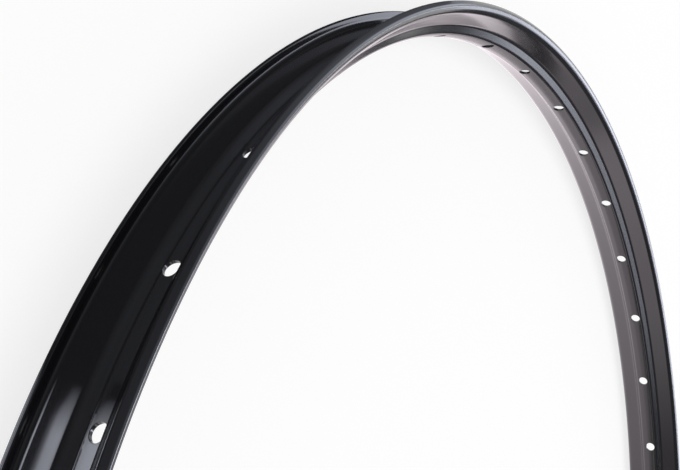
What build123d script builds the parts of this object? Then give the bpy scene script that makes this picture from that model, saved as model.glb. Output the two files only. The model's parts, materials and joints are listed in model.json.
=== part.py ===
from build123d import *
from math import cos, radians, sin, tan
import os

# A single-wall bicycle rim: one bar, extruded with a drop centre and straight flanges,
# rolled into a hoop and drilled for the spokes and the valve.
# Millimetres. The hoop's axis is Z, its middle plane is Z = 0, and it is the same on both sides.

# Tyre side
bead_seat_diameter = 559.0
bead_seat_spacing = 25.2
flange_height = 4.5
outer_width = 33.8
lip_width = 1.2
lip_flat = 0.05

# Hub side
wall = 1.3
rim_depth = 12.1
bed_width = 7.8
bed_angle = 4.4
step_angle = 53.0
shoulder_angle = 21.3
flange_root_drop = 1.3
flange_root_angle = 58.0
flange_lean = 40.0

# Rounding of the section's corners
crown_radius = 26.0
bed_edge_radius = 2.3
step_foot_radius = 2.0
flange_root_radius = 4.8
flange_foot_radius = 1.6
seat_corner_radius = 2.4

# Drilling
spoke_count = 36
spoke_hole_diameter = 5.4
spoke_stagger = 0.47
valve_hole_diameter = 6.5
valve_angle = 270.0

# Radii that follow from the sizes above
rim_radius = bead_seat_diameter / 2 + flange_height
bed_radius = rim_radius - rim_depth


def along(angle):
    """Direction, as (radius, height), of a line in the section at an angle from the hoop's axis."""
    return Vector(sin(radians(angle)), cos(radians(angle)))


def through_wall(angle):
    """Step from the hub face of a wall at that angle to its tyre face."""
    return Vector(cos(radians(angle)), -sin(radians(angle))) * wall


def crossing(start, angle, other_start, other_angle):
    """Point where two lines of the section meet."""
    line = along(angle)
    other = along(other_angle)
    gap = other_start - start
    steps = (gap.X * other.Y - gap.Y * other.X) / (line.X * other.Y - line.Y * other.X)
    return start + line * steps


# Hub face of the wall: crowned bed, steep step, sloping shoulder
bed_middle = Vector(bed_radius, 0)
bed_edge = crossing(bed_middle, bed_angle, Vector(bed_radius, bed_width / 2), 90)
seat = Vector(bead_seat_diameter / 2, bead_seat_spacing / 2)
shoulder = seat - through_wall(shoulder_angle)
step_top = crossing(bed_edge, step_angle, shoulder, shoulder_angle)

# Outside of the flange: a wide rounding at its root, a foot as wide as the rim and a leaning face
flange_root = crossing(shoulder, shoulder_angle, Vector(0, outer_width / 2 - flange_root_drop), 90)
foot_height = outer_width / 2 - flange_foot_radius
foot_slope = crossing(flange_root, flange_root_angle, Vector(0, foot_height), 90)
foot_centre = foot_slope + Vector(flange_foot_radius / cos(radians(flange_root_angle)), 0)
lean = radians(flange_lean)
flange_face = foot_centre + Vector(sin(lean), cos(lean)) * flange_foot_radius
flange_foot = crossing(flange_root, flange_root_angle, flange_face, 90 + flange_lean)
flange_top = crossing(flange_face, 90 + flange_lean, Vector(rim_radius, 0), 0)

# Lip, rounded over almost its whole width, and the flange's straight inner face down to the bead seat
lip_inside = flange_top - Vector(0, lip_width)
lip_radius = (lip_width - lip_flat) / (1 + tan(radians(90 - flange_lean) / 2))
seat_end = crossing(seat, shoulder_angle, lip_inside, 90)

# Tyre face of the wall, one wall thickness from the hub face
step_inside = bed_edge + through_wall(step_angle)
well_top = crossing(step_inside, step_angle, seat, shoulder_angle)
well_edge = crossing(bed_middle + through_wall(bed_angle), bed_angle, step_inside, step_angle)
well_middle = crossing(bed_middle + through_wall(bed_angle), bed_angle, Vector(0, 0), 90)

# Half of the section, from the hub side round the flange to the tyre side, with each corner's rounding
half_section = [
    (bed_edge, bed_edge_radius),
    (step_top, step_foot_radius),
    (flange_root, flange_root_radius),
    (flange_foot, flange_foot_radius),
    (flange_top, lip_radius),
    (lip_inside, lip_radius),
    (seat_end, seat_corner_radius),
    (well_top, step_foot_radius + wall),
    (well_edge, bed_edge_radius - wall),
]
mirrored_half = [(Vector(point.X, -point.Y), radius) for point, radius in reversed(half_section)]
corners = [
    (bed_middle, crown_radius),
    *half_section,
    (well_middle, crown_radius - wall),
    *mirrored_half,
]
outline = FilletPolyline(
    *[point for point, _ in corners],
    radius=[radius for _, radius in corners],
    close=True,
)
hoop = revolve(Plane.XZ * make_face(outline), Axis.Z, 360)


def radial_drill(diameter, angle, height):
    """Cylinder along a radius of the hoop through the bed, with its seam on the bed's middle."""
    drill = Pos(bed_radius, 0, height) * Rot(0, 90, 90) * Cylinder(diameter / 2, rim_depth)
    return Rot(0, 0, angle) * drill


# Spoke holes lie in turn a little below and above the middle plane, and the valve is halfway between two
spoke_pitch = 360 / spoke_count
first_spoke_angle = valve_angle + spoke_pitch / 2
drills = [radial_drill(valve_hole_diameter, valve_angle, 0)]
for index in range(spoke_count):
    side = 1 if index % 2 else -1
    angle = first_spoke_angle + index * spoke_pitch
    drills.append(radial_drill(spoke_hole_diameter, angle, side * spoke_stagger))
rim = hoop - drills

os.makedirs("parts", exist_ok=True)
export_step(rim, "parts/rim.step")

print("rim radius", round(rim_radius, 3), "bed radius", round(bed_radius, 3))
print("volume", round(rim.volume, 1), "solids", len(rim.solids()))
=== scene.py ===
# %% [markdown]
# # A gloss black bicycle rim
# The real rim is a single bar of aluminium. It is extruded with its section already in it, rolled
# into a hoop, joined at its ends, drilled for the spokes and the valve, and coated black.
# This lesson carries the same section round the same circle as a surface, gives it the coating,
# and lights it so that the black shows its form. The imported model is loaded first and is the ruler
# for everything else: its box, its holes and its bead seat are read from it, not measured again.

import json
from math import atan2, cos, degrees, radians, sin, tan

import bpy
import numpy as np
from mathutils import Matrix, Vector


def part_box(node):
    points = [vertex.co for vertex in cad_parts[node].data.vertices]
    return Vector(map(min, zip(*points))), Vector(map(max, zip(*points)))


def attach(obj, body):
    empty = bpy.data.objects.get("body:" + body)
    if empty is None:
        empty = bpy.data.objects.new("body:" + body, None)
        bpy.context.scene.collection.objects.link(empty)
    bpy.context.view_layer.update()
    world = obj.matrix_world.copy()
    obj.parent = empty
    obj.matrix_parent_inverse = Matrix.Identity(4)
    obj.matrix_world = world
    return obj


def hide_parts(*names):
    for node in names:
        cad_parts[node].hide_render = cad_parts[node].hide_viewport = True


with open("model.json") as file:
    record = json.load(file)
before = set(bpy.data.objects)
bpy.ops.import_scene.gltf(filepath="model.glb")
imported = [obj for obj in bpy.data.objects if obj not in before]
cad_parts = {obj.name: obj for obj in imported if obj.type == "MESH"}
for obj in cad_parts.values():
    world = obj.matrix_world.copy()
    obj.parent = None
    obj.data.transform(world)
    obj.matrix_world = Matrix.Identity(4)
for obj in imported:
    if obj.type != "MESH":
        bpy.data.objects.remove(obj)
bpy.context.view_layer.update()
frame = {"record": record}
scene = bpy.context.scene
scene.view_settings.view_transform = "Standard"
mounts = {mount["name"]: mount for mount in frame["record"]["mounts"]}

# %% [markdown]
# ## Camera
# The rim lies flat, as it comes to rest. The picture looks across the hoop from just outside it,
# close to the near side, which is why the near part is so much larger than the far part.
# A camera could be turned by three angles, but a place, a point to look at and a direction for the
# top of the picture are easier to read. Two of the three axes then follow from cross products.

# %% Place the camera
camera_place = Vector((-0.3871, 0.2131, 0.1742))
camera_aim = Vector((0.1206, 0.1815, -0.1439))
picture_up = Vector((0.0734, 0.9971, 0.0181))
picture_width = 680
focal_length_pixels = 972

camera_data = bpy.data.cameras.new("camera")
camera_data.sensor_fit = "HORIZONTAL"
camera_data.lens = focal_length_pixels / picture_width * camera_data.sensor_width
camera_data.clip_start = 0.01
camera = bpy.data.objects.new("camera", camera_data)
scene.collection.objects.link(camera)
scene.camera = camera


def looking(place, aim, up):
    """Where a camera or a lamp stands and turns: its minus Z axis points from its place to its aim."""
    backward = (place - aim).normalized()
    rightward = up.cross(backward).normalized()
    upward = backward.cross(rightward)
    return Matrix.Translation(place) @ Matrix((rightward, upward, backward)).transposed().to_4x4()


camera.matrix_world = looking(camera_place, camera_aim, picture_up)
print("lens", round(camera_data.lens, 2), "mm")

# %% [markdown]
# ## The section
# Cut across, the rim is one thin wall. From the hub side it is a crowned bed with the holes, a steep
# step and a sloping shoulder. The flange then turns outwards and ends in a thin, rounded lip.
# The tyre side repeats the bed, the step and the shoulder one wall thickness away, and a wide
# rounding leads from the tyre's seat up the inside of the flange.
# The corners are worked out as crossings of straight lines, in the plane of radius and height, and
# each corner is then rounded by an arc. A drawn curve could look the same, but it would lose the sizes.
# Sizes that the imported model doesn't state, such as the wall and the roundings, repeat its drawing.

# %% Sizes of the section, in metres and degrees
MM = 0.001
rim_low, rim_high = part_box("rim")
rim_radius = rim_high.x
outer_width = rim_high.z - rim_low.z
bead_seat_radius, _, bead_seat_height = mounts["tyre_bead_seat"]["pos_m"]

wall = 1.3 * MM
rim_depth = 12.1 * MM
bed_width = 7.8 * MM
lip_width = 1.2 * MM
lip_flat = 0.05 * MM
flange_root_drop = 1.3 * MM

bed_angle = 4.4
step_angle = 53.0
shoulder_angle = 21.3
flange_root_angle = 58.0
flange_lean = 40.0

crown_radius = 26.0 * MM
bed_edge_radius = 2.3 * MM
step_foot_radius = 2.0 * MM
flange_root_radius = 4.8 * MM
flange_foot_radius = 1.6 * MM
seat_corner_radius = 2.4 * MM
lip_radius = (lip_width - lip_flat) / (1 + tan(radians(90 - flange_lean) / 2))
bed_radius = rim_radius - rim_depth
print("rim radius", round(rim_radius, 4), "bed radius", round(bed_radius, 4))

# %% Helpers for lines of the section


def point(radius, height):
    """A point of the section as an array of radius and height."""
    return np.array([radius, height], float)


def along(angle):
    """Unit step along a line that climbs at an angle from the axis: (sine, cosine) of the angle."""
    return point(sin(radians(angle)), cos(radians(angle)))


def through_wall(angle):
    """Step of one wall thickness, square to such a line, from its hub face to its tyre face."""
    return point(cos(radians(angle)), -sin(radians(angle))) * wall


def crossing(start, angle, other_start, other_angle):
    """Where two lines meet: the steps along each that close the gap between their starts."""
    steps = np.linalg.solve(np.stack([along(angle), -along(other_angle)], 1), other_start - start)
    return start + along(angle) * steps[0]


print("step through the shoulder's wall, radius and height:", through_wall(shoulder_angle).round(5))

# %% Corners of half the section
bed_middle = point(bed_radius, 0)
bed_edge = crossing(bed_middle, bed_angle, point(bed_radius, bed_width / 2), 90)
seat = point(bead_seat_radius, bead_seat_height)
shoulder = seat - through_wall(shoulder_angle)
step_top = crossing(bed_edge, step_angle, shoulder, shoulder_angle)

flange_root = crossing(shoulder, shoulder_angle, point(0, outer_width / 2 - flange_root_drop), 90)
foot_height = outer_width / 2 - flange_foot_radius
foot_slope = crossing(flange_root, flange_root_angle, point(0, foot_height), 90)
foot_centre = foot_slope + point(flange_foot_radius / cos(radians(flange_root_angle)), 0)
flange_face = foot_centre + along(flange_lean) * flange_foot_radius
flange_foot = crossing(flange_root, flange_root_angle, flange_face, 90 + flange_lean)
flange_top = crossing(flange_face, 90 + flange_lean, point(rim_radius, 0), 0)

lip_inside = flange_top - point(0, lip_width)
seat_end = crossing(seat, shoulder_angle, lip_inside, 90)
step_inside = bed_edge + through_wall(step_angle)
well_top = crossing(step_inside, step_angle, seat, shoulder_angle)
well_edge = crossing(bed_middle + through_wall(bed_angle), bed_angle, step_inside, step_angle)
well_middle = crossing(bed_middle + through_wall(bed_angle), bed_angle, point(0, 0), 90)

half_section = [
    (bed_edge, bed_edge_radius),
    (step_top, step_foot_radius),
    (flange_root, flange_root_radius),
    (flange_foot, flange_foot_radius),
    (flange_top, lip_radius),
    (lip_inside, lip_radius),
    (seat_end, seat_corner_radius),
    (well_top, step_foot_radius + wall),
    (well_edge, bed_edge_radius - wall),
]
print(len(half_section) * 2 + 2, "corners; wall at the bed", round(well_middle[0] - bed_middle[0], 5))

# %% [markdown]
# A rounded corner is an arc that touches both of its lines. Its centre lies on the line that halves
# the corner, and it turns from the normal of the first line to the normal of the second. Those normals
# are kept beside the points, because on a gloss surface the reflections follow the normals, and exact
# ones are smoother than ones averaged from faces.

# %% Round the corners
ARC_STEPS = 40


def corner_arc(before, corner, after, radius):
    """Arc that touches both lines at a corner, as rows of point and outward normal.
    The normal starts on the left of the first line and swings through the corner's turn. The points
    are the centre minus the radius times that normal, or plus it where the corner turns right."""
    first = (corner - before) / np.linalg.norm(corner - before)
    second = (after - corner) / np.linalg.norm(after - corner)
    turn = atan2(first[0] * second[1] - first[1] * second[0], first @ second)
    reach = radius * np.sign(turn)
    left = point(-first[1], first[0])
    centre = corner - first * radius * tan(abs(turn) / 2) + left * reach
    swing = np.linspace(0, turn, ARC_STEPS + 1)[:, None]
    outward = left * np.cos(swing) - first * np.sin(swing)
    return np.concatenate([centre - outward * reach, outward], 1)


def rounded_half(corners):
    """Half of the outline from the middle of the bed to the middle of the well, as rows of
    radius, height and the two parts of the normal that points out of the metal."""
    mirrored_half = [(corner * (1, -1), radius) for corner, radius in reversed(corners)]
    loop = [(bed_middle, crown_radius), *corners, (well_middle, crown_radius - wall), *mirrored_half]
    arcs = [
        corner_arc(loop[index - 1][0], corner, loop[(index + 1) % len(loop)][0], radius)
        for index, (corner, radius) in enumerate(loop[:len(corners) + 2])
    ]
    half_arc = ARC_STEPS // 2
    return np.concatenate([arcs[0][half_arc:], *arcs[1:-1], arcs[-1][:half_arc + 1]])


half_outline = rounded_half(half_section)
print(len(half_outline), "points on half of the outline")

# %% [markdown]
# The outline has far more points than a mesh needs on its arcs, and none on its straight runs.
# It could be thinned to points at even distances, but a tight corner would then get one or none.
# Here points are set at even steps of effort, where a degree of turning costs as much as a sixth of a
# millimetre of travel, so tight corners keep several points each. The bed and the well floor, which
# hold the holes, are kept apart as two strips.

# %% Measure the effort along the outline
DEGREES_PER_METRE = 6.0 / MM
strip_edge = 4.7 * MM

moves = np.diff(half_outline, axis=0)
travel = np.hypot(moves[:, 0], moves[:, 1])
turning = np.degrees(2 * np.arcsin(np.hypot(moves[:, 2], moves[:, 3]) / 2))
effort = np.concatenate([[0], np.cumsum(turning + travel * DEGREES_PER_METRE)])

# The two faces that hold the holes, as rows of rising height from the middle of the bed and of the well
widest = int(np.argmax(half_outline[:, 1]))
past_strip = np.argmax(np.maximum.accumulate(half_outline[::-1, 1]) > strip_edge)
hub_face = half_outline[:widest + 1]
tyre_face = half_outline[::-1][:past_strip + 1]
hub_effort = np.interp(strip_edge, hub_face[:, 1], effort[:widest + 1])
tyre_effort = np.interp(strip_edge, tyre_face[:, 1], effort[::-1][:past_strip + 1])
print("effort along half of the outline:", round(effort[-1]), "degrees")

# %% Thin the outline to mesh rows
STRIP_ROWS = 10
FLANK_ROWS = 40


def rows_at(marks):
    """Rows of the outline at given efforts: points and normals read linearly between its points."""
    return np.stack([np.interp(marks, effort, column) for column in half_outline.T], 1)


half_rows = rows_at(np.concatenate([
    np.linspace(0, hub_effort, STRIP_ROWS + 1),
    np.linspace(hub_effort, tyre_effort, FLANK_ROWS + 1)[1:-1],
    np.linspace(tyre_effort, effort[-1], STRIP_ROWS + 1),
]))
section_rows = np.concatenate([half_rows, half_rows[-2:0:-1] * (1, -1, 1, -1)])
row_count = len(section_rows)
hub_strip = np.arange(-STRIP_ROWS, STRIP_ROWS + 1) % row_count
tyre_strip = len(half_rows) - 1 - np.arange(-STRIP_ROWS, STRIP_ROWS + 1)
print(row_count, "rows round the section")

# %% [markdown]
# ## The hoop and its holes
# The rows are carried round the axis: radius times cosine, radius times sine, height. A boolean could
# drill the holes, but it leaves slivers that show on gloss. Instead a window of the grid is left out at
# each hole, and a sheet of rings fills it: from the window's border down to the hole's edge, round the
# edge, through the wall, and out again on the tyre side. Every ring has as many points as the border.

# %% Columns of the hoop and places of the holes
SPOKES = 36
WINDOW = 2
WINDOW_DEGREES = 1.0
OPEN_STEPS = 3
spoke_pitch = 360 / SPOKES
spoke_x, spoke_y, spoke_height = mounts["spoke_hole"]["pos_m"]
spoke_bore = mounts["spoke_hole"]["dims"]["r_mm"] * MM
valve_bore = mounts["valve_hole"]["dims"]["r_mm"] * MM
first_angle = atan2(spoke_y, spoke_x)

window_places = np.linspace(-WINDOW_DEGREES, WINDOW_DEGREES, 2 * WINDOW + 1)
open_places = np.linspace(WINDOW_DEGREES, spoke_pitch / 2 - WINDOW_DEGREES, OPEN_STEPS + 1)[1:-1]
half_pitch = np.concatenate([window_places, open_places])
pitch_places = np.concatenate([half_pitch, half_pitch + spoke_pitch / 2])
spokes = np.arange(SPOKES)
angles = first_angle + np.radians(spoke_pitch * spokes[:, None] + pitch_places).ravel()
column_count = len(angles)

# Spoke holes lie in turn below and above the middle plane, and the valve is halfway between two of them
spoke_columns = spokes * len(pitch_places) + WINDOW
valve_column = spoke_columns[-1] + len(half_pitch)
hole_columns = np.append(spoke_columns, valve_column)
hole_heights = np.append(spoke_height * (-1.0) ** spokes, 0)
hole_radii = np.append(np.full(SPOKES, spoke_bore), valve_bore)
print(column_count, "columns;", len(hole_columns), "holes, the first at", round(degrees(first_angle), 2))

# %% Carry the rows round the axis


def turned(radius, height, angle):
    """Points at a radius and height, turned about the axis: (radius cosine, radius sine, height)."""
    return np.stack(np.broadcast_arrays(radius * np.cos(angle), radius * np.sin(angle), height), -1)


hoop_points = turned(section_rows[:, 0], section_rows[:, 1], angles[:, None])
hoop_normals = turned(section_rows[:, 2], section_rows[:, 3], angles[:, None])
hoop_index = np.arange(column_count * row_count).reshape(column_count, row_count)

kept = np.ones((column_count, row_count), bool)
window_cells = (hole_columns[:, None] + np.arange(-WINDOW, WINDOW)).ravel() % column_count
kept[np.ix_(window_cells, hub_strip[:-1])] = False
kept[np.ix_(window_cells, tyre_strip[1:])] = False
next_column = np.roll(hoop_index, -1, axis=0)
hoop_quads = np.stack([
    hoop_index,
    np.roll(hoop_index, -1, axis=1),
    np.roll(next_column, -1, axis=1),
    next_column,
], -1)[kept]
print(len(hoop_quads), "faces on the hoop")

# %% Borders of the windows
side_rows = np.arange(2 * STRIP_ROWS)
side_columns = np.arange(2 * WINDOW)
border_row = np.concatenate([
    side_rows,
    np.full(2 * WINDOW, 2 * STRIP_ROWS),
    2 * STRIP_ROWS - side_rows,
    np.zeros(2 * WINDOW, int),
])
border_column = np.concatenate([
    np.full(2 * STRIP_ROWS, WINDOW),
    WINDOW - side_columns,
    np.full(2 * STRIP_ROWS, -WINDOW),
    side_columns - WINDOW,
])
border_count = len(border_row)
border_turn = np.radians(window_places)[border_column + WINDOW]
border_columns = (hole_columns[:, None] + border_column) % column_count

# Angles round a hole: halfway between those of the border's own points and even ones
hub_border_height = section_rows[hub_strip, 1][border_row]
square_angle = np.unwrap(np.arctan2(hub_border_height / strip_edge, border_column / WINDOW))
even_angle = square_angle[0] + 2 * np.pi * np.arange(border_count) / border_count
around = (square_angle + even_angle) / 2
print(border_count, "points on each ring")

# %% Rings from the border to the hole's edge
EDGE_ROUND = 0.2 * MM
RINGS = 8
RING_CROWDING = 1.3
hole_angle = angles[hole_columns][:, None]


def on_face(face, height, angle):
    """Points and normals of the hub or tyre face: its radius and normal at a height, turned to an angle."""
    radius, normal_out, normal_up = (
        np.interp(np.abs(height), face[:, 1], face[:, column]) for column in (0, 2, 3)
    )
    return turned(radius, height, angle), turned(normal_out, normal_up * np.sign(height), angle)


def hole_edge(face):
    """A hole's edge on a face, wider than its bore by the rounding: height is its radius times the sine,
    the way across is its radius times the cosine, and the face's radius is read at that height."""
    edge = hole_radii[:, None] + EDGE_ROUND
    height = hole_heights[:, None] + edge * np.sin(around)
    return height, edge * np.cos(around), np.interp(np.abs(height), face[:, 1], face[:, 0])


def face_rings(face, strip):
    """Rings from a hole's edge to the border of its window, laid on the face. Their shares of the way,
    in angle and height, are even ones raised to a power, so they crowd together near the edge."""
    edge_height, edge_across, edge_radius = hole_edge(face)
    edge_turn = np.arcsin(edge_across / edge_radius)
    share = (np.arange(RINGS) / RINGS)[:, None, None] ** RING_CROWDING
    border_height = section_rows[strip, 1][border_row]
    height = edge_height + (border_height - edge_height) * share
    turn = edge_turn + (border_turn - edge_turn) * share
    return on_face(face, height, hole_angle + turn)


hub_rings = face_rings(hub_face, hub_strip)
tyre_rings = face_rings(tyre_face, tyre_strip)
print(len(hub_rings[0]), "rings on each face round each hole")

# %% Rings round the hole's edge
ROUND_STEPS = 3


def edge_rings(face, inward):
    """Rings round a hole's edge: a quarter circle from the face into the wall. The hole narrows by
    the rounding times the sine, and the depth is the rounding times one minus the cosine."""
    swing = np.linspace(0, np.pi / 2, ROUND_STEPS + 1)[1:, None, None]
    edge_height, edge_across, edge_radius = hole_edge(face)
    depth = np.sqrt(edge_radius ** 2 - edge_across ** 2) + inward * EDGE_ROUND * (1 - np.cos(swing))
    bore = hole_radii[:, None] + EDGE_ROUND * (1 - np.sin(swing))
    across = bore * np.cos(around)
    points = turned(depth, hole_heights[:, None] + bore * np.sin(around), hole_angle)
    points = points + turned(across, 0 * across, hole_angle + np.pi / 2)
    face_normals = on_face(face, edge_height, hole_angle + np.arcsin(edge_across / edge_radius))[1]
    to_axis = -turned(np.cos(around), np.sin(around), hole_angle + np.pi / 2)
    return points, face_normals * np.cos(swing)[..., None] + to_axis * np.sin(swing)[..., None]


hub_edges = edge_rings(hub_face, 1)
tyre_edges = edge_rings(tyre_face, -1)
print(len(hub_edges[0]), "rings round each edge")

# %% Sheets of rings through the wall
sheet_points, sheet_normals = (
    np.concatenate([hub_rings[part][::-1], hub_edges[part], tyre_edges[part][::-1], tyre_rings[part]])
    for part in (0, 1)
)
sheet_index = hoop_index.size + np.arange(sheet_points[..., 0].size).reshape(sheet_points.shape[:3])
sheet_index = np.concatenate([
    hoop_index[border_columns, hub_strip[border_row]][None],
    sheet_index,
    hoop_index[border_columns, tyre_strip[border_row]][None],
])
next_around = np.roll(sheet_index, -1, axis=2)
sheet_quads = np.stack([sheet_index[:-1], sheet_index[1:], next_around[1:], next_around[:-1]], -1)
print(sheet_quads[..., 0].size, "faces in the sheets")

# %% Join them into one mesh


def make_mesh(name, points, normals, quads):
    """A smooth mesh from whole arrays. Points that no face uses are dropped, and the normals are kept."""
    used, quads = np.unique(quads, return_inverse=True)
    quads = quads.reshape(-1, 4).astype(np.int32)
    normals = normals[used] / np.linalg.norm(normals[used], axis=1, keepdims=True)
    mesh = bpy.data.meshes.new(name)
    mesh.vertices.add(len(used))
    mesh.vertices.foreach_set("co", points[used].astype(np.float32).ravel())
    mesh.loops.add(quads.size)
    mesh.loops.foreach_set("vertex_index", quads.ravel())
    mesh.polygons.add(len(quads))
    mesh.polygons.foreach_set("loop_start", np.arange(0, quads.size, 4, dtype=np.int32))
    mesh.update(calc_edges=True)
    mesh.polygons.foreach_set("use_smooth", np.ones(len(quads), bool))
    mesh.normals_split_custom_set_from_vertices(normals)
    mesh.validate()
    return mesh


rim = bpy.data.objects.new("rim_hoop", make_mesh(
    "rim_hoop",
    np.concatenate([hoop_points.reshape(-1, 3), sheet_points.reshape(-1, 3)]),
    np.concatenate([hoop_normals.reshape(-1, 3), sheet_normals.reshape(-1, 3)]),
    np.concatenate([hoop_quads, sheet_quads.reshape(-1, 4)]),
))
scene.collection.objects.link(rim)
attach(rim, "root")
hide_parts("rim")
print(len(rim.data.polygons) * 2, "triangles in the rim")

# %% [markdown]
# ## Shader maths as expressions
# A finish is a small formula: a grain here, a little more roughness there. Written as nodes and links
# it is hard to read. The class below wraps one output socket, so that a product or a sum of two of them
# adds the Math node by itself, and any other node comes from one method.

# %% A class for shader values


class Wire:
    """One value in a node tree: an output socket to add, multiply, take away and feed to other nodes."""

    def __init__(self, tree, socket=None):
        self.tree = tree
        self.socket = socket

    def node(self, kind, settings=None, inputs=None, output=0):
        """Adds a node of a type, sets its settings, then the value or link of each named socket."""
        made = self.tree.nodes.new(kind)
        for name, setting in (settings or {}).items():
            setattr(made, name, setting)
        for name, value in (inputs or {}).items():
            if isinstance(value, Wire):
                self.tree.links.new(value.socket, made.inputs[name])
            else:
                made.inputs[name].default_value = value
        return Wire(self.tree, made.outputs[output]) if made.outputs else None

    def maths(self, operation, first, second):
        """One Math node on two values or numbers."""
        return self.node("ShaderNodeMath", {"operation": operation}, {0: first, 1: second})

    def __add__(self, other):
        return self.maths("ADD", self, other)

    __radd__ = __add__

    def __mul__(self, other):
        return self.maths("MULTIPLY", self, other)

    __rmul__ = __mul__

    def __sub__(self, other):
        return self.maths("SUBTRACT", self, other)

    def __rsub__(self, other):
        return self.maths("SUBTRACT", other, self)


def fresh_material(name):
    """A material with an empty node tree, and a wire to start that tree from."""
    material = bpy.data.materials.new(name)
    material.use_nodes = True
    material.node_tree.nodes.clear()
    return material, Wire(material.node_tree)


print("shader helpers ready")

# %% [markdown]
# ## The coating
# The black finish on the aluminium flows as it is baked, but not perfectly. It keeps a faint orange peel
# a couple of millimetres across, faint lines that the drawn metal has along the hoop, and a gloss that is
# a little uneven. The colour is almost black, so the form shows only in what it reflects. The finish is
# dense, so it mirrors more than plain paint does: a refractive index of 1.8 gives it a share of 8 percent.
# Lines that follow the hoop could be painted on a map of the surface. A noise that is given the distance
# from the axis and the height, but not the angle, is the same all the way round and needs no map.

# %% Gloss black coating
COATING_COLOUR = (0.012, 0.012, 0.014, 1)
COATING_INDEX = 1.8
PEEL_PER_METRE = 420
PEEL_DETAIL = 1.5
CLOUD_PER_METRE = 30
CLOUD_DETAIL = 3.0
LINES_PER_METRE = 900
LINES_DETAIL = 2.0
LINES_RELIEF = 0.3
BUMP_STRENGTH = 0.1
BUMP_DEPTH = 0.02 * MM
LEAST_ROUGHNESS = 0.06
CLOUD_ROUGHNESS = 0.08
LINES_ROUGHNESS = 0.08


def noise(start, place, per_metre, detail, dimensions="3D"):
    """Noise at a place, with so many grains to a metre and finer grains added up to the detail."""
    return start.node("ShaderNodeTexNoise", {"noise_dimensions": dimensions}, {
        "Vector": place,
        "Scale": per_metre,
        "Detail": detail,
    })


def gloss_black():
    """Principled coating: roughness is a base plus shares of a cloud and of the lines, and the bump's
    height is the peel plus a share of the lines. The distance from the axis is the root of x x + y y."""
    material, start = fresh_material("gloss_black")
    place = start.node("ShaderNodeTexCoord", output="Object")
    x, y, z = (start.node("ShaderNodeSeparateXYZ", None, {"Vector": place}, axis) for axis in "XYZ")
    from_axis = start.maths("POWER", x * x + y * y, 0.5)
    section_place = start.node("ShaderNodeCombineXYZ", None, {"X": from_axis, "Y": z})
    peel = noise(start, place, PEEL_PER_METRE, PEEL_DETAIL)
    cloud = noise(start, place, CLOUD_PER_METRE, CLOUD_DETAIL)
    lines = noise(start, section_place, LINES_PER_METRE, LINES_DETAIL, "2D")
    bump = start.node("ShaderNodeBump", None, {
        "Height": peel + LINES_RELIEF * lines,
        "Strength": BUMP_STRENGTH,
        "Distance": BUMP_DEPTH,
    })
    surface = start.node("ShaderNodeBsdfPrincipled", None, {
        "Base Color": COATING_COLOUR,
        "IOR": COATING_INDEX,
        "Roughness": LEAST_ROUGHNESS + CLOUD_ROUGHNESS * cloud + LINES_ROUGHNESS * lines,
        "Normal": bump,
    })
    start.node("ShaderNodeOutputMaterial", None, {"Surface": surface})
    return material


rim.data.materials.append(gloss_black())
print("coating on", rim.name)

# %% [markdown]
# ## Studio
# A black mirror shows the room, so the room is what has to be designed. The rim lies on a white floor under
# one large soft lamp, in a room that is white at the level of the eye and dims towards the ceiling. Cards
# do the rest, as in a photographer's studio: dark ones where the black should stay black, bright ones where
# a light line should run along the rim. Mirror rays alone see the cards, so they light nothing else and
# stay out of the picture. A floor that is bright enough to be white would throw much light up at the rim.
# Most of its white is therefore a glow that diffuse rays don't see.

# %% White floor
FLOOR_REACH = 6.0
FLOOR_GLOW = 0.77
FLOOR_COLOUR = (0.3, 0.3, 0.3, 1)
FLOOR_GAP = 0.05 * MM
floor_height = rim_low.z - FLOOR_GAP


def stage_sheet(name, grid, material):
    """A sheet through a grid of points, with one face for each cell of the grid."""
    index = np.arange(grid[..., 0].size).reshape(grid.shape[:2])
    cells = np.stack([index[:-1, :-1], index[1:, :-1], index[1:, 1:], index[:-1, 1:]], -1)
    mesh = bpy.data.meshes.new(name)
    mesh.from_pydata(grid.reshape(-1, 3).tolist(), [], cells.reshape(-1, 4).tolist())
    mesh.materials.append(material)
    sheet = bpy.data.objects.new(name, mesh)
    scene.collection.objects.link(sheet)
    return sheet


def white_floor():
    """Diffuse grey plus a glow that camera, mirror and clear rays see, which together come to white."""
    material, start = fresh_material("white_floor")
    kinds = ("Is Camera Ray", "Is Glossy Ray", "Is Transmission Ray")
    camera_ray, mirror_ray, clear_ray = (start.node("ShaderNodeLightPath", output=kind) for kind in kinds)
    seen = camera_ray + mirror_ray + clear_ray
    glow = start.node("ShaderNodeEmission", None, {"Strength": seen * FLOOR_GLOW})
    matt = start.node("ShaderNodeBsdfDiffuse", None, {"Color": FLOOR_COLOUR})
    both = start.node("ShaderNodeAddShader", None, {0: glow, 1: matt})
    start.node("ShaderNodeOutputMaterial", None, {"Surface": both})
    return material


square = np.array([[(-1, -1), (-1, 1)], [(1, -1), (1, 1)]]) * FLOOR_REACH
stage_sheet("floor", np.concatenate([square, np.full((2, 2, 1), floor_height)], -1), white_floor())
print("floor at", round(floor_height, 5))

# %% [markdown]
# ### Cards
# A card is a sheet that glows, more at some of its points than at others. Its glow could be a ramp in its
# material, with one material for each card. Here it is a number at each point of the sheet, so that two
# materials, a cool and a warm one, serve all cards. Most cards are bent round the axis of the hoop.
# Their glow changes along it, so it is written as stops: an angle round the hoop, and the glow there.

# %% Cards that only mirror rays see
COOL_TINT = (0.84, 0.87, 1.0, 1)
WARM_TINT = (1.0, 0.91, 0.97, 1)


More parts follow.
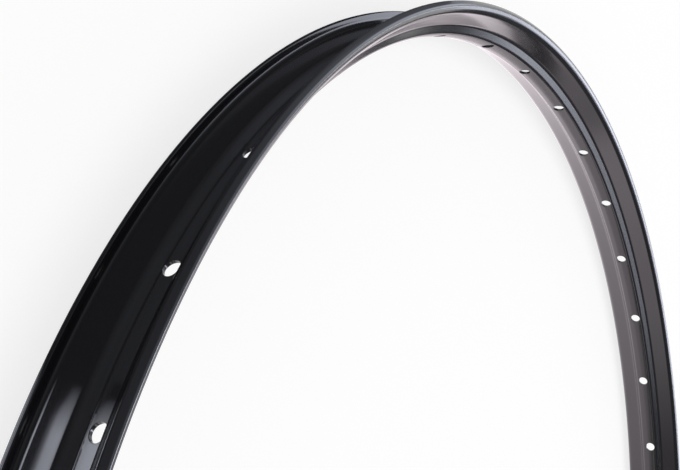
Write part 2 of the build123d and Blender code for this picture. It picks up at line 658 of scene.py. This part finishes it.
def card_light(name, tint):
    """A material that only glows, in a tint, as strongly as the sheet's own glow says at each point."""
    material, start = fresh_material(name)
    strength = start.node("ShaderNodeAttribute", {"attribute_name": "glow"}, output="Fac")
    light = start.node("ShaderNodeEmission", None, {"Color": tint, "Strength": strength})
    start.node("ShaderNodeOutputMaterial", None, {"Surface": light})
    return material


cool_light = card_light("cool_light", COOL_TINT)
warm_light = card_light("warm_light", WARM_TINT)


def card(name, grid, glow, light):
    """A sheet with a glow at each of its points, hidden from all rays but mirror rays."""
    sheet = stage_sheet(name, grid, light)
    values = np.broadcast_to(glow, grid.shape[:2]).astype(np.float32).ravel()
    sheet.data.attributes.new("glow", "FLOAT", "POINT").data.foreach_set("value", values)
    sheet.visible_camera = False
    sheet.visible_diffuse = False
    sheet.visible_transmission = False
    sheet.visible_shadow = False


print("two lights for cards")

# %% Helpers for cards round the hoop


def arc_from(start, stop):
    """Whole degrees round the hoop, as a column."""
    return np.arange(start, stop + 1.0)[:, None]


def at_stops(arc, stops):
    """A value at each degree of an arc, read linearly between stops of degree and value."""
    return np.interp(arc, list(stops), list(stops.values()))


def side_by_side(*columns):
    """Columns and single numbers as the columns of one array."""
    return np.concatenate(np.broadcast_arrays(*(np.atleast_2d(column) for column in columns)), 1)


def ring_card(name, arc, radii, heights, glow, light):
    """A card bent round the hoop's axis through columns of radii and heights."""
    card(name, turned(np.asarray(radii), np.asarray(heights), np.radians(arc)), glow, light)


print("card helpers ready")

# %% [markdown]
# ### Cards for the tyre channel
# The part of the hoop next to the camera shows the channel that the tyre sits in. It faces outwards, so
# it mirrors the floor and the room beside the hoop and would be grey all over. A dark floor would mend
# that and spoil the white picture. A low dark wall round the hoop and a dark strip at its foot take its
# place. The wall is a little lighter at its top, and both grow light towards the end that lies outside
# the picture, so that they end softly in other views.
# Two bright bands, one on the wall and one on the strip, give the two streaks at the lower left. They
# open and light up over a few degrees, which makes their tips pointed and soft.

# %% Dark wall and strip beside the channel
BLACK = 0.05
STRIP_BLACK = 0.12
CARD_GAP = 0.1 * MM
card_low = floor_height + CARD_GAP
wall_radius = rim_radius + 13 * MM
wall_top = 29 * MM

channel = arc_from(94, 195)
fade = at_stops(channel, {160: 0, 195: 0.9})
wall_top_glow = at_stops(channel, {112: 0.4, 124: 0.18})
wall_glow = side_by_side(BLACK, BLACK, wall_top_glow) + fade
wall_heights = side_by_side(card_low, 0.0, wall_top)
strip_radii = side_by_side(rim_radius, wall_radius)
ring_card("channel_wall", channel, wall_radius, wall_heights, wall_glow, cool_light)
ring_card("channel_floor", channel, strip_radii, card_low, STRIP_BLACK + fade, cool_light)
print("dark cards over", len(channel), "degrees")

# %% Two streaks in the channel
STREAK_GLOW = 3.1
streak_soft = 1 * MM
streak_top = -5.5 * MM
streak_bottom = -8 * MM
streak_drop = 4.3 * MM
streak_inner = rim_radius + 1 * MM
streak_outer = rim_radius + 2.2 * MM
streak_spread = 7 * MM

streak = arc_from(141, 175)
opening = at_stops(streak, {141: 0.4, 144: 1})
streak_middle = at_stops(streak, {142: BLACK, 145: STREAK_GLOW, 155: STREAK_GLOW, 175: BLACK})
streak_glow = side_by_side(BLACK, streak_middle, streak_middle, BLACK)
streak_low = streak_bottom - opening * streak_drop
streak_out = streak_outer + opening * streak_spread
streak_heights = side_by_side(streak_low, streak_low + streak_soft, streak_top - streak_soft, streak_top)
streak_radii = side_by_side(
    streak_inner,
    streak_inner + streak_soft / 2,
    streak_out,
    streak_out + streak_soft,
)
ring_card("streak_wall", streak, wall_radius - CARD_GAP, streak_heights, streak_glow, cool_light)
ring_card("streak_floor", streak, streak_radii, card_low + CARD_GAP / 2, streak_glow, cool_light)
print("two streaks over", len(streak), "degrees")

# %% [markdown]
# ### Cards under the hoop
# The far part of the hoop shows its hub side. There the lower shoulder and the bed look down at the floor
# close by, so bright cards lie on that floor: one under the hoop for the shoulder, and one inside it for
# the bed, brighter towards the middle where the hoop turns to the top of the picture. A third lies inside
# the near part, where the foot of the upper flange mirrors it. Lamps under the hoop could do the same, but
# they would also light the floor.

# %% Bright cards under the hoop
under_start_radius = 225 * MM
under_start_per_degree = 0.55 * MM
under_end_radius = rim_radius - 3 * MM
middle_start = 17 * MM
middle_end = 13 * MM
beside_start_radius = 180 * MM
beside_end_radius = 250 * MM

under = arc_from(-60, 100)
under_start = under_start_radius + under * under_start_per_degree
under_glow = at_stops(under, {0: 1.1, 60: 1.9})
ring_card("under_rim", under, side_by_side(under_start, under_end_radius), card_low, under_glow, warm_light)

bed_glow = at_stops(under, {-14: 0.25, -1: 0.79, 13: 1.0, 46: 1.0, 60: 0.72, 78: 0.82, 95: 0.95})
middle_glow = bed_glow * at_stops(under, {50: 1, 70: 1.7})
inside_glow = side_by_side(middle_glow, middle_glow, bed_glow, bed_glow)
inside_radii = side_by_side(
    under_start / 2,
    under_start - middle_start,
    under_start - middle_end,
    under_start - CARD_GAP,
)
ring_card("inside_rim", under, inside_radii, card_low, inside_glow, warm_light)

beside = arc_from(101, 150)
beside_glow = at_stops(beside, {112: 0.9, 120: 0.7, 128: 0.35, 144: 0.08})
beside_radii = side_by_side(beside_start_radius, beside_end_radius)
ring_card("beside_rim", beside, beside_radii, card_low, beside_glow, warm_light)
print("three cards under the hoop")

# %% [markdown]
# ### Cards for the upper faces
# The shoulder, the step and the flange's foot on the upper side look up into the room, far from the hoop.
# Cards for them could be placed by trial. Here their places are worked out: the camera's rays are mirrored
# at the hoop by a face of a given tilt, and the card hangs where they go. A row of tilts then makes a card
# that fills one face from edge to edge. The cards of the shoulder and the step are dim beside their bright
# band, which keeps a dark line between the two faces. The near part's flange gets a card in the same way.

# %% Mirror the camera's rays
CARD_REACH = 2.0
mirror_radius = 277 * MM
mirror_height = 10 * MM


def mirrored(arc, tilts):
    """Where the camera's rays go from the hoop, by faces that tilt from facing the axis to facing up.
    The ray to a point loses twice its share along the face's normal, and the card is a reach along it."""
    turn = np.radians(arc)
    tilt = np.radians(tilts)
    place = turned(mirror_radius, mirror_height, turn)
    normal = turned(-np.cos(tilt), np.sin(tilt), turn)
    ray = place - np.array(camera_place)
    ray = ray / np.linalg.norm(ray, axis=-1, keepdims=True)
    share = np.sum(ray * normal, -1, keepdims=True)
    return place + (ray - 2 * share * normal) * CARD_REACH


print("cards hang", CARD_REACH, "metres from the hoop")

# %% Cards that the faces mirror
DIM = 0.12
NEAR_FALL = 0.3
SHOULDER_TILTS = (3, 15.5, 18, 24.5, 27)
STEP_TILTS = (27, 49, 51.5, 54.5)
FAR_FOOT_TILTS = (56, 65, 75, 85)
NEAR_FLANGE_TILTS = (88, 108, 117, 135)
SHOULDER_STOPS = {4: 0.3, 11: 0.55, 18: 0.85, 25: 1.05, 46: 1.3, 54: 1.2, 60: 0.65, 68: 0.7}
STEP_STOPS = {4: 0.1, 11: 0.2, 18: 0.7, 25: 1.3, 46: 1.7, 74: 2.3, 81: 2.1, 88: 0.85, 93: 0.1}
FAR_FOOT_STOPS = {4: 5, 12: 8, 60: 8, 74: 5.5, 88: 3.2}
NEAR_FLANGE_STOPS = {96: 2.8, 104: 2.2, 120: 1.7, 128: 1.0, 136: 0.5}

far_side = arc_from(-6, 100)
shoulder_band = at_stops(far_side, SHOULDER_STOPS)
shoulder_glow = side_by_side(DIM, DIM, shoulder_band, shoulder_band, DIM)
card("far_shoulder", mirrored(far_side, SHOULDER_TILTS), shoulder_glow, warm_light)

step_band = at_stops(far_side, STEP_STOPS)
step_glow = side_by_side(DIM, DIM, step_band, step_band)
card("far_step", mirrored(far_side, STEP_TILTS), step_glow, cool_light)
card("far_edge", mirrored(far_side, FAR_FOOT_TILTS), at_stops(far_side, FAR_FOOT_STOPS), cool_light)

near_side = arc_from(96, 150)
near_band = at_stops(near_side, NEAR_FLANGE_STOPS)
near_glow = side_by_side(near_band, near_band, NEAR_FALL * near_band, NEAR_FALL * near_band)
card("near_edge", mirrored(near_side, NEAR_FLANGE_TILTS), near_glow, cool_light)
print("four cards for the upper faces")

# %% [markdown]
# ### Lamp and world
# One large lamp high above lights the floor and gives the rim its soft shadow. Mirror rays don't see it,
# because its outline would show on the gloss. The world could be one plain white, but then every face that
# looks up would be washed out, so it dims with height. To the camera it is a little darker than white,
# as the far floor is, so that no horizon shows where they meet.

# %% Soft lamp
LAMP_GLOW = 2.6
LAMP_SIZE = (3.2, 2.0)
LAMP_PLACE = Vector((0.7, -0.4, 3.2))

lamp_data = bpy.data.lights.new("soft_lamp", "AREA")
lamp_data.shape = "RECTANGLE"
lamp_data.size, lamp_data.size_y = LAMP_SIZE
lamp_data.energy = LAMP_GLOW * np.pi * LAMP_SIZE[0] * LAMP_SIZE[1]
lamp = bpy.data.objects.new("soft_lamp", lamp_data)
lamp.matrix_world = looking(LAMP_PLACE, Vector((0, 0, 0)), Vector((0, 0, 1)))
lamp.visible_camera = False
lamp.visible_glossy = False
scene.collection.objects.link(lamp)
print("lamp of", round(lamp_data.energy), "watts")

# %% World
CEILING = 0.2
FAR_WHITE = 0.888
WHITE_BELOW_DEGREES = 14
CEILING_ABOVE_DEGREES = 40

world = bpy.data.worlds.new("studio")
scene.world = world
world.use_nodes = True
world.node_tree.nodes.clear()
sky = Wire(world.node_tree)
direction = sky.node("ShaderNodeTexCoord", output="Generated")
rise = sky.node("ShaderNodeSeparateXYZ", None, {"Vector": direction}, output="Z")
strength = sky.node("ShaderNodeMapRange", {"interpolation_type": "SMOOTHSTEP"}, {
    "Value": rise,
    "From Min": sin(radians(WHITE_BELOW_DEGREES)),
    "From Max": sin(radians(CEILING_ABOVE_DEGREES)),
    "To Min": 1.0,
    "To Max": CEILING,
})
seen_by_camera = sky.node("ShaderNodeLightPath", output="Is Camera Ray")
shown = strength * (1 - (1 - FAR_WHITE) * seen_by_camera)
background = sky.node("ShaderNodeBackground", None, {"Color": (1, 1, 1, 1), "Strength": shown})
sky.node("ShaderNodeOutputWorld", None, {"Surface": background})
print("world from 1.0 at eye level to", CEILING, "at the ceiling")
